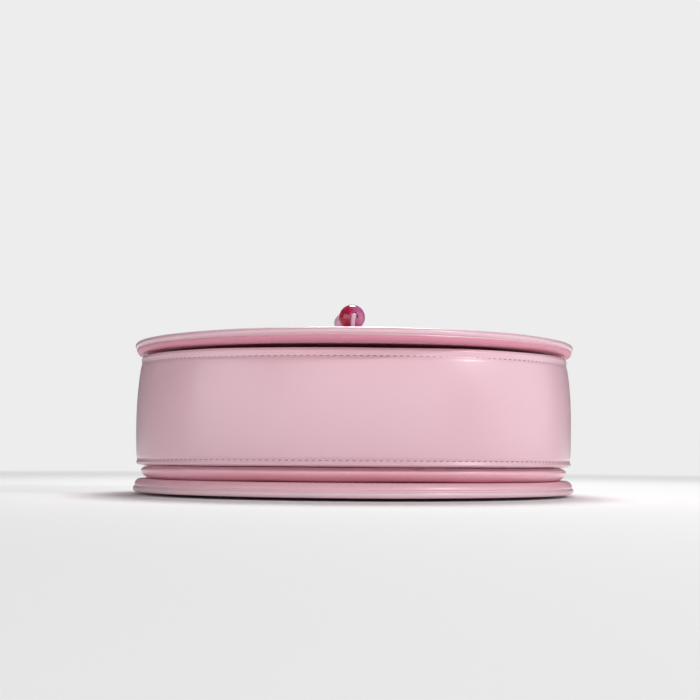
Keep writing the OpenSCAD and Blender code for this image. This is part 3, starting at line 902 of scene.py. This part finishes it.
# gusset: puffed band with two stitched rows
gusset = dict(
    wall=2.0,
    topTuck=1.5,  # how far the upper seam pulls in, and how roundly
    topRound=0.6,
    bottomTuck=0.5,
    bottomRound=0.45,
    puff=1.1,  # how far the middle stands out
    lean=0.9,  # how much further the top is drawn in than the bottom
    lip=0.55,  # rolled edge outside each stitch row
    lipFrom=1.1,
    lipWidth=0.8,
    rowDip=0.3,  # how deep a stitched row is drawn in
    rowWidth=0.7,
    topRow=3.8,  # stitch rows from the edges
    bottomRow=2.9,
)
gussetRows = (backSeamZ + gusset["bottomRow"] * mm, bodyTopZ - gusset["topRow"] * mm)


def gussetOut(z):
    # how far the band stands out of the body's outline at a height
    t = (z - backSeamZ) / (bodyTopZ - backSeamZ)
    side = "top" if t > 0.5 else "bottom"
    belly = max(0.0, math.sin(math.pi * t)) ** gusset[side + "Round"]
    out = gusset["puff"] * belly - gusset[side + "Tuck"] * (1 - belly) + gusset["lean"] * (0.5 - t)
    for edge in (backSeamZ + gusset["lipFrom"] * mm, bodyTopZ - gusset["lipFrom"] * mm):
        out += gusset["lip"] * math.exp(-((z - edge) / (gusset["lipWidth"] * mm)) ** 2)
    for row in gussetRows:
        out -= gusset["rowDip"] * math.exp(-((z - row) / (gusset["rowWidth"] * mm)) ** 2)
    return out * mm


def gussetBand():
    low, high = backSeamZ, bodyTopZ
    levels = [low + 0.3 * mm + 0.5 * mm * i for i in range(9)]
    levels += [low + 5.3 * mm + (high - low - 11.1 * mm) * i / 17 for i in range(18)]
    levels += [high - 5.3 * mm + 0.5 * mm * i for i in range(11)]
    outer = [(gussetOut(z), z) for z in levels]
    inner = [(-gusset["wall"] * mm, high - 0.1 * mm), (-gusset["wall"] * mm, low + 0.1 * mm)]
    lip = [(-1.5 * mm, high - 0.02 * mm)]
    foot = [(-1.5 * mm, low + 0.02 * mm)]
    bm = bmesh.new()
    sweep(bm, outer + lip + inner + foot, stationsAlong(bodyEdge(0)), closed=True, capped=True)
    tidyNormals(bm)
    soften(bm, 0.3 * mm, 34 * mm, seed=3)
    newPiece("gussetBand", bm, "bag", pinkLeather, "pink_leather", ["gusset"])


def gussetStitches(name, z):
    path = bodyEdge(0)
    places = []
    for p, d in walk(path, stitch["pitch"] * mm, 4 * mm):
        out = Vector((d.y, -d.x, 0))
        places.append(seat(Vector((p.x, p.y, z)) + out * gussetOut(z), (d.x, d.y, 0), out))
    stitchRow(name, places, "bag")


gussetBand()
gussetStitches("gussetStitchesBottom", gussetRows[0])
gussetStitches("gussetStitchesTop", gussetRows[1])
print("gusset made")


# padded back panel under the gusset
backPad = dict(
    setBack=1.7,
    roll=6.6,
    reach=15.0,
    middle=0.64,  # how high its fullest line stands
    above=0.33,  # how far it rounds over above and below that line
    below=0.62,
)


def backPanelPad():
    top, bottom = backSeamZ, backHigh.z
    out, roll = -backPad["setBack"] * mm, backPad["roll"] * mm
    depth = top - bottom
    profile = [(-7 * mm, top - 0.5 * mm), (-2.9 * mm, top - 0.35 * mm)]
    for i in range(17):
        a = math.radians(62 - 150 * i / 16)
        lift = backPad["above"] if a > 0 else backPad["below"]
        level = bottom + depth * backPad["middle"] + depth * lift * math.sin(a)
        profile.append((out - roll + roll * math.cos(a), level))
    profile.append((-backPad["reach"] * mm, bottom + 0.1 * mm))
    bm = bmesh.new()
    sweep(bm, profile, stationsAlong(bodyEdge(0)))
    closeHoles(bm)
    soften(bm, 0.25 * mm, 26 * mm, seed=5)
    # the pad wears the painted light copy of the leather
    piece = newPiece("backPanelPad", bm, "bag", padPaintedLightLeather, "pink_leather", ["back_panel"])


def bodyFoam():
    # the pad's filling, rounded like its leather
    low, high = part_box("back_foam")
    path = bodyEdge(9 * mm)
    top, bottom = high.z - 1.4 * mm, low.z + 0.6 * mm
    steps = [(0.02, bottom), (0.5, bottom), (0.95, bottom + 0.2 * mm), (0.99, bottom + 1.6 * mm)]
    steps += [(1.0, (top + bottom) / 2), (0.995, top - 0.8 * mm), (0.97, top), (0.5, top), (0.02, top)]
    bm = fanShell(path, steps)
    closeHoles(bm)
    newPiece("bodyFoam", bm, "bag", foamCell, "foam", ["back_foam"])


def mouthFoot():
    # the strip that closes the pad's filling along the mouth
    half = bodyHalf / mm - sideLean / mm - 0.6
    low, high = backHigh.z / mm + 0.2, backSeamZ / mm + 1.1
    mouth = mouthY / mm
    bm = softBox((-half, mouth - 0.7, low), (half, mouth + 0.6, high), 0.4)
    crossCuts(bm, 0, -half * mm, half * mm, 8 * mm)
    soften(bm, 0.12 * mm, 22 * mm, seed=9)
    newPiece("mouthFoot", bm, "bag", pinkLeather, "pink_leather")
    level = (low + high) / 2
    start, end = (-half + 2, mouth + 0.6, level), (half - 2, mouth + 0.6, level)
    lineStitches("mouthFootStitches", start, end, (0, 1, 0), "bag")


bodyFoam()
backPanelPad()
mouthFoot()
print("back panel made")


# sheets inside the plates: the cover under the body and the flap's underside
sheets = dict(inset=4.7, stitchInset=6.6)


def plateSheet(name, faceZ, innerZ, body, replaces):
    # a flat sheet set into a plate's recess, with its own stitched row
    r = plateRadius - sheets["inset"] * mm
    sign = 1 if faceZ > innerZ else -1
    section = [(r * i / 12, faceZ) for i in range(12)]
    section += [(r - 0.5 * mm, faceZ), (r, faceZ - sign * 0.35 * mm), (r, innerZ), (0, innerZ)]
    bm = halfMoon(section, plateEndY - sheets["inset"] * mm, 60)
    closeHoles(bm)
    # the sheet wears the deeper painted shade copy of the leather
    newPiece(name, bm, body, rosePaintedShadeLeather, "pink_leather", replaces)
    plateStitches(name + "Stitches", sheets["stitchInset"], faceZ, body, sign)


plateSheet("flapUnderside", flapLow.z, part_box("flap_lining")[1].z, "flap", ["flap_lining"])
plateSheet("backCoverLeather", backHigh.z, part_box("back_cover")[0].z, "bag", ["back_cover"])
print("plate sheets made")


# front panel under the flap, its mouth binding and the lining behind it
frontPanel = dict(inset=2.05, rise=0.5)
panelLow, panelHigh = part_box("front_panel")


def frontPanelLeather():
    path = bodyEdge(frontPanel["inset"] * mm)
    top, low, rise = panelHigh.z, panelLow.z, frontPanel["rise"] * mm
    steps = [(0.02, low), (0.5, low), (0.985, low), (0.998, low + 0.3 * mm), (1.0, top - 0.8 * mm),
             (0.997, top - 0.3 * mm), (0.985, top - 0.02 * mm), (0.96, top - 0.15 * mm)]
    for i in range(1, 15):
        share = 0.96 * (1 - i / 14.2)
        steps.append((share, top - 0.15 * mm + rise * math.sin(math.pi * max(share, 0.5)) ** 2))
    bm = fanShell(path, steps)
    closeHoles(bm)
    newPiece("frontPanelLeather", bm, "bag", pinkLeather, "pink_leather", ["front_panel"])


def edgeBinding():
    low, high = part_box("mouth_binding")
    lowMm, highMm = low / mm, high / mm
    bm = softBox(lowMm, highMm, 1.5, segments=4)
    crossCuts(bm, 0, low.x, high.x, 6 * mm)
    soften(bm, 0.12 * mm, 12 * mm, seed=9)
    newPiece("mouthBindingRoll", bm, "bag", pinkLeather, "pink_leather", ["mouth_binding"])
    start, end = (lowMm.x + 3, lowMm.y + 1.3, highMm.z), (highMm.x - 3, lowMm.y + 1.3, highMm.z)
    lineStitches("mouthBindingStitches", start, end, (0, 0, 1), "bag")


lining = dict(inset=2.15, hang=0.5, folds=17.0, wall=0.7)


def liningBag():
    path = bodyEdge(lining["inset"] * mm)
    low, high = liningLow.z, liningHigh.z
    floorSteps = [(0.02, low)] + [(i / 16, low) for i in range(1, 16)] + [(0.985, low)]
    wallSteps = [(1.0, low + (high - low) * i / 14) for i in range(1, 14)]
    roofSteps = [(share, high) for share, z in reversed(floorSteps)]
    steps = floorSteps + [(0.997, low + 0.5 * mm)] + wallSteps + [(0.997, high - 0.5 * mm)] + roofSteps
    bm = fanShell(path, steps)
    tidyNormals(bm)
    # the cloth hangs a little off the leather, in soft folds
    middle = Vector((0, mouthY - 60 * mm, (low + high) / 2))
    for v in bm.verts:
        hang = (0.5 + 0.5 * noise.noise(v.co / (lining["folds"] * mm))) * lining["hang"] * mm
        v.co += (middle - v.co).normalized() * hang
    bmesh.ops.solidify(bm, geom=bm.faces[:], thickness=lining["wall"] * mm)
    tidyNormals(bm)
    newPiece("liningBag", bm, "bag", liningTwill, "lining_cloth", ["lining"])


slipPocket = dict(rounding=0.35, bulge=0.9, ripple=0.25, rippleSize=11.0, seam=2.2)


def slipPocketCloth():
    low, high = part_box("slip_pocket")
    lowMm, highMm = low / mm, high / mm
    bm = softBox(lowMm, highMm, slipPocket["rounding"], segments=2)
    crossCuts(bm, 0, low.x, high.x, 5 * mm)
    crossCuts(bm, 1, low.y, high.y, 5 * mm)
    for v in bm.verts:
        full = math.sin(math.pi * (v.co.x - low.x) / (high.x - low.x)) * (v.co.y - low.y) / (high.y - low.y)
        if v.co.z < (low.z + high.z) / 2:
            ripple = slipPocket["ripple"] * mm * noise.noise(v.co / (slipPocket["rippleSize"] * mm))
            v.co.z -= slipPocket["bulge"] * mm * max(full, 0) + ripple
    newPiece("slipPocketCloth", bm, "bag", liningTwill, "lining_cloth", ["slip_pocket"])
    face = lowMm.z - 0.1
    seam = slipPocket["seam"]
    left, right, bottom = lowMm.x + seam, highMm.x - seam, lowMm.y + seam
    rows = {"Left": ((left, lowMm.y + 2, face), (left, highMm.y - 1, face)),
            "Right": ((right, lowMm.y + 2, face), (right, highMm.y - 1, face)),
            "Low": ((lowMm.x + 3, bottom, face), (highMm.x - 3, bottom, face))}
    for place, (start, end) in rows.items():
        lineStitches("pocketStitches" + place, start, end, (0, 0, -1), "bag", "lining_cloth")


frontPanelLeather()
edgeBinding()
liningBag()
slipPocketCloth()
print("front panel, binding and lining made")


# inner zip: two tapes and the teeth along their edges
zipper = dict(
    toothPitch=1.5,
    toothWidth=0.42,
    toothReach=1.05,
    toothHeight=0.85,
    toothOut=1.02,  # from the middle of the zip to the middle of a tooth
    toothTilt=12.0,
    gap=0.25,  # half the gap between the tapes
)


def innerZip():
    low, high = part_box("zip_tapes")
    coilLow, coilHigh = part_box("zip_coil")
    midY = (low.y + high.y) / 2
    bm = bmesh.new()
    for side in (-1, 1):
        near, far = midY + side * zipper["gap"] * mm, high.y if side > 0 else low.y
        corners = Vector((low.x, min(near, far), low.z)), Vector((high.x, max(near, far), high.z))
        part = softBox(corners[0] / mm, corners[1] / mm, 0.2, 2)
        crossCuts(part, 0, low.x, high.x, 5 * mm)
        for v in part.verts:
            v.co.z += 0.12 * mm * noise.noise(v.co / (9 * mm))
        joinInto(bm, part)
    newPiece("zipTapes", bm, "bag", zipCloth, "zip_nylon", ["zip_tapes"])
    matrices = []
    count = round((coilHigh.x - coilLow.x) / (zipper["toothPitch"] * mm))
    middleZ = (coilLow.z + coilHigh.z) / 2
    half = [zipper[key] * mm for key in ("toothWidth", "toothReach", "toothHeight")]
    size = Matrix.Diagonal((*half, 1))
    for side in (-1, 1):
        for i in range(count):
            x = coilLow.x + (i + 0.5 + 0.25 * side) * zipper["toothPitch"] * mm
            place = Matrix.Translation((x, midY + side * zipper["toothOut"] * mm, middleZ))
            tilt = Matrix.Rotation(math.radians(zipper["toothTilt"] * side), 4, "Z")
            matrices.append(place @ tilt @ size)
    newPiece("zipTeeth", repeatedBeads(matrices, 8, 6), "bag", zipNylon, "zip_nylon", ["zip_coil"])


innerZip()
print("zip made")


# side tabs: a strip folded round the ring's bar and riveted through the gusset
tab = dict(low=3.0, along=22.0, out=3.1, layer=1.4, width=13.0, z=41.0, rounding=0.45,
           stitchInset=1.5, stitchPitch=2.6)


def sideMatrix(side):
    turned = Matrix.Translation((bodyHalf, bodyWideY, 0)) @ Matrix.Rotation(sideTurn, 4, "Z")
    return Matrix.Diagonal((side, 1, 1, 1)) @ turned


def sideTab(name, side, node):
    half = tab["layer"] / 2
    eye = tab["out"] - half
    path = [(half, tab["low"] + 5.6 * i) for i in range(3)] + [(half, tab["along"] - 2.6)]
    path += arcPoints((tab["out"], tab["along"]), eye, 180, -62, 22)
    path += [(3 * half + 0.35, tab["along"] - 3.6), (3 * half + 0.05, tab["along"] - 7)]
    path += [(3 * half, tab["low"] + 5 * i) for i in (2, 1, 0)]
    bm = bmesh.new()
    profile = roundRect(tab["layer"] * mm, tab["width"] * mm, tab["rounding"] * mm)[:-1]
    stations = stationsAlong([(x * mm, y * mm) for x, y in path], tab["z"] * mm)
    sweep(bm, profile, stations, closed=True, capped=True)
    bmesh.ops.transform(bm, matrix=sideMatrix(side), verts=bm.verts)
    tidyNormals(bm)
    newPiece(name, bm, "bag", pinkLeather, "pink_leather", [node])
    places = []
    turn = sideMatrix(side)
    for level in (-1, 1):
        z = (tab["z"] + level * (tab["width"] / 2 - tab["stitchInset"])) * mm
        line = [Vector((2 * tab["layer"] * mm, y * mm, z)) for y in (tab["low"] + 1, tab["along"] - 4.5)]
        for p, d in walk(line, tab["stitchPitch"] * mm):
            places.append(seat(turn @ p, turn.to_3x3() @ d, turn.to_3x3() @ Vector((1, 0, 0))))
    stitchRow(name + "Stitches", places, "bag")


sideTab("tabLeft", -1, "tab_left")
sideTab("tabRight", 1, "tab_right")
print("side tabs made")


# spine: a stiff strip between the plates, with a fold of leather at each edge
spine = dict(rounding=1.3, rim=3.2, recess=0.5, foldSkin=0.9, stitchInset=5.0, sag=0.16, linerWall=1.0,
             linerGap=0.2)


def spineLeather():
    low, high = spineLow / mm, spineHigh / mm
    corners = (low.x, low.y + 0.05, low.z + 0.05), (high.x, high.y, high.z - 0.05)
    bm = softBox(*corners, spine["rounding"], segments=4)
    inner = [f for f in bm.faces if f.normal.y < -0.99]
    for thickness, depth in ((spine["rim"] - spine["rounding"], 0), (0.3, -spine["recess"])):
        bmesh.ops.inset_region(bm, faces=inner, thickness=thickness * mm, depth=depth * mm,
                               use_even_offset=True)
    crossCuts(bm, 0, spineLow.x, spineHigh.x, 9 * mm)
    crossCuts(bm, 2, spineLow.z, spineHigh.z, 9 * mm)
    bm.normal_update()
    for v in bm.verts:
        v.co.y -= spine["sag"] * mm * (0.5 + noise.noise(v.co / (30 * mm)))
    newPiece("spineLeather", bm, "spine", plateLeather, "pink_leather", ["spine_skin"])
    edge, back = spine["rim"] + spine["linerGap"], low.y + 0.1
    liner = softBox((low.x + edge, back, low.z + edge),
                    (high.x - edge, back + spine["linerWall"], high.z - edge), 0.3, 2)
    crossCuts(liner, 0, spineLow.x, spineHigh.x, 9 * mm)
    # the liner wears the same painted shade copy of the leather
    newPiece("spineInner", liner, "spine", rosePaintedShadeLeather, "lining_cloth", ["spine_lining"])
    y, inset = high.y - 0.15, spine["stitchInset"]
    for place, z in (("Low", low.z + inset), ("High", high.z - inset)):
        lineStitches("spineStitches" + place, (low.x + 6, y, z), (high.x - 6, y, z), (0, 1, 0), "spine")
    for place, x in (("Left", low.x + inset), ("Right", high.x - inset)):
        lineStitches("spineStitches" + place, (x, y, low.z + 6), (x, y, high.z - 6), (0, 1, 0), "spine")


def hingeStrip(name, profile, half, steps, hinge, up, look):
    # a profile drawn across the bag along a hinge, as a loose piece on neither body
    stations = []
    for i in range(steps + 1):
        x = -half + 2 * half * i / steps
        stations.append(Matrix(((0, 0, 1, x), (1, 0, 0, hinge.y), (0, up, 0, hinge.z), (0, 0, 0, 1))))
    bm = bmesh.new()
    sweep(bm, profile, stations, closed=True, capped=True)
    tidyNormals(bm)
    piece = newPiece(name, bm, None, *look)
    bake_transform(piece)


def foldStrip(name, hinge, up, faceZ):
    # quarter turn of leather outside a hinge, from a plate's outer face to the spine's
    wide, tall = spineHigh.y - hinge.y, abs(hinge.z - faceZ) - 0.15 * mm
    skin = spine["foldSkin"] * mm
    outer = [(x * wide, y * tall) for x, y in arcPoints((0, 0), 1, -90, 0, 14)]
    inner = [(x * (wide - skin), y * (tall - skin)) for x, y in arcPoints((0, 0), 1, 0, -90, 14)]
    start = [(-4 * mm, -tall + 0.75 * mm), (-2.5 * mm, -tall + 0.2 * mm)]
    end = [(wide - 0.2 * mm, 2.5 * mm), (wide - 0.75 * mm, 4 * mm)]
    profile = start + outer + end + [(wide - 1.6 * mm, 4 * mm)] + inner + [(-4 * mm, -tall + 1.6 * mm)]
    look = plateLeather, "pink_leather"
    hingeStrip(name, profile, plateRadius - 0.6 * mm, 40, hinge, up, look)


def foldLiner(name, hinge, up):
    # thin strip across the inside of the same hinge
    skin = 0.35 * mm
    outer = [(-7 * mm, 0.05 * mm), (-3 * mm, 0.2 * mm)]
    outer += arcPoints((-1.4 * mm, 1.6 * mm), 1.4 * mm, -90, 0, 6)
    outer += [(-0.05 * mm, 3.5 * mm), (0.1 * mm, 8 * mm)]
    inner = [(x - skin * 0.7, y + skin * 0.7) for x, y in reversed(outer)]
    # the painted shade copy of the leather
    look = rosePaintedShadeLeather, "lining_cloth"
    hingeStrip(name, outer + inner, plateRadius - 4 * mm, 32, hinge, up, look)


spineLeather()
foldStrip("foldLow", spineHinge, 1, backLow.z)
foldStrip("foldHigh", flapHinge, -1, flapHigh.z)
foldLiner("foldLowLiner", spineHinge, 1)
foldLiner("foldHighLiner", flapHinge, -1)
print("spine and folds made")


# shoulder strap, folded in seven runs inside the body
strap = dict(
    width=10.0,
    thickness=2.4,
    low=17.5,
    runs=[-38, -24, -14.5, -5, 4.5, 14, 28],
    half=66.0,
    firstX=-16.0,
    lastX=30.0,
    loop=1.85,
    loopWall=1.4,
    stitchInset=1.3,
    stitchPitch=3.4,
    stitchEnd=9.0,  # bare leather beside each end
)


def strapRoute():
    runs, half = strap["runs"], strap["half"]
    route = []
    for i, y in enumerate(runs):
        ahead = 1 if i % 2 == 0 else -1
        start = strap["firstX"] if i == 0 else -ahead * half
        end = strap["lastX"] if i == len(runs) - 1 else ahead * half
        count = max(2, round(abs(end - start) / 8))
        route += [(start + (end - start) * k / count, y) for k in range(count + 1)]
        if i < len(runs) - 1:
            r = (runs[i + 1] - y) / 2
            bend = arcPoints((end, y + r), r, -90, 90, 14)[1:-1]
            route += [(end + ahead * abs(x - end), by) for x, by in bend]
    return [(x * mm, y * mm) for x, y in route]


def strapBand():
    middle = (strap["low"] + strap["width"] / 2) * mm
    bm = bmesh.new()
    profile = roundRect(strap["thickness"] * mm, strap["width"] * mm, 0.75 * mm)[:-1]
    sweep(bm, profile, stationsAlong(strapRoute(), middle), closed=True, capped=True)
    loopProfile = roundRect(strap["loopWall"] * mm, strap["width"] * mm, 0.5 * mm)[:-1]
    for x, y in ((strap["firstX"] - 2, strap["runs"][0]), (strap["lastX"] + 2, strap["runs"][-1])):
        ring = [(px * mm, py * mm) for px, py in arcPoints((x, y), strap["loop"], 0, 360, 28)]
        sweep(bm, loopProfile, stationsAlong(ring[:-1] + [ring[0]], middle), closed=True)
    tidyNormals(bm)
    newPiece("strapBand", bm, "bag", pinkLeather, "pink_leather", ["strap_band"])
    places = []
    for i, y in enumerate(strap["runs"]):
        for level in (-1, 1):
            for face in (-1, 1):
                z = middle + level * (strap["width"] / 2 - strap["stitchInset"]) * mm
                start = strap["firstX"] + strap["stitchEnd"] if i == 0 else -strap["half"]
                end = strap["lastX"] - strap["stitchEnd"] if i == len(strap["runs"]) - 1 else strap["half"]
                faceY = (y + face * strap["thickness"] / 2) * mm
                line = [Vector((start * mm, faceY, z)), Vector((end * mm, faceY, z))]
                places += [seat(p, d, (0, face, 0)) for p, d in walk(line, strap["stitchPitch"] * mm)]
    stitchRow("strapStitches", places, "bag")


def strapTie():
    # elastic band round the five middle runs
    low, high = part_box("strap_tie")
    cy, cz = (low.y + high.y) / 2, (low.z + high.z) / 2
    ring = roundRect(high.y - low.y - 0.8 * mm, high.z - low.z - 0.8 * mm, 1.6 * mm, 5)[:-1]
    stations = stationsAlong(ring + [ring[0]])
    bm = bmesh.new()
    sweep(bm, roundRect(0.8 * mm, high.x - low.x, 0.3 * mm, 2)[:-1], stations, closed=True)
    upright = Matrix(((0, 0, 1, (low.x + high.x) / 2), (1, 0, 0, cy), (0, 1, 0, cz), (0, 0, 0, 1)))
    bmesh.ops.transform(bm, matrix=upright, verts=bm.verts)
    tidyNormals(bm)
    newPiece("strapTie", bm, "bag", elasticCloth, "elastic", ["strap_tie"])


strapBand()
strapTie()
print("strap made")


# nodes kept as they are: what each is made of
finishes = [
    (liningTwill, ["zip_pocket_bag"]),
    (boardCard, ["back_board", "spine_board", "flap_board"]),
    (foamCell, ["back_plate_foam", "flap_foam"]),
    (nickel, [
        "panel_keeper", "flap_keeper", "zip_stops", "zip_slider", "zip_puller", "tab_rivets",
        "ring_left", "ring_right", "eyelet_front", "eyelet_rear", "strap_adjuster", "strap_rivets",
        "hook_eye_a", "hook_eye_b", "hook_a", "hook_b", "bolt_a", "bolt_b"]),
    (darkIron, ["panel_magnet", "flap_magnet"]),
]
for material, names in finishes:
    for nodeName in names:
        mesh = frame["nodes"][nodeName].data
        mesh.materials.clear()
        mesh.materials.append(material)
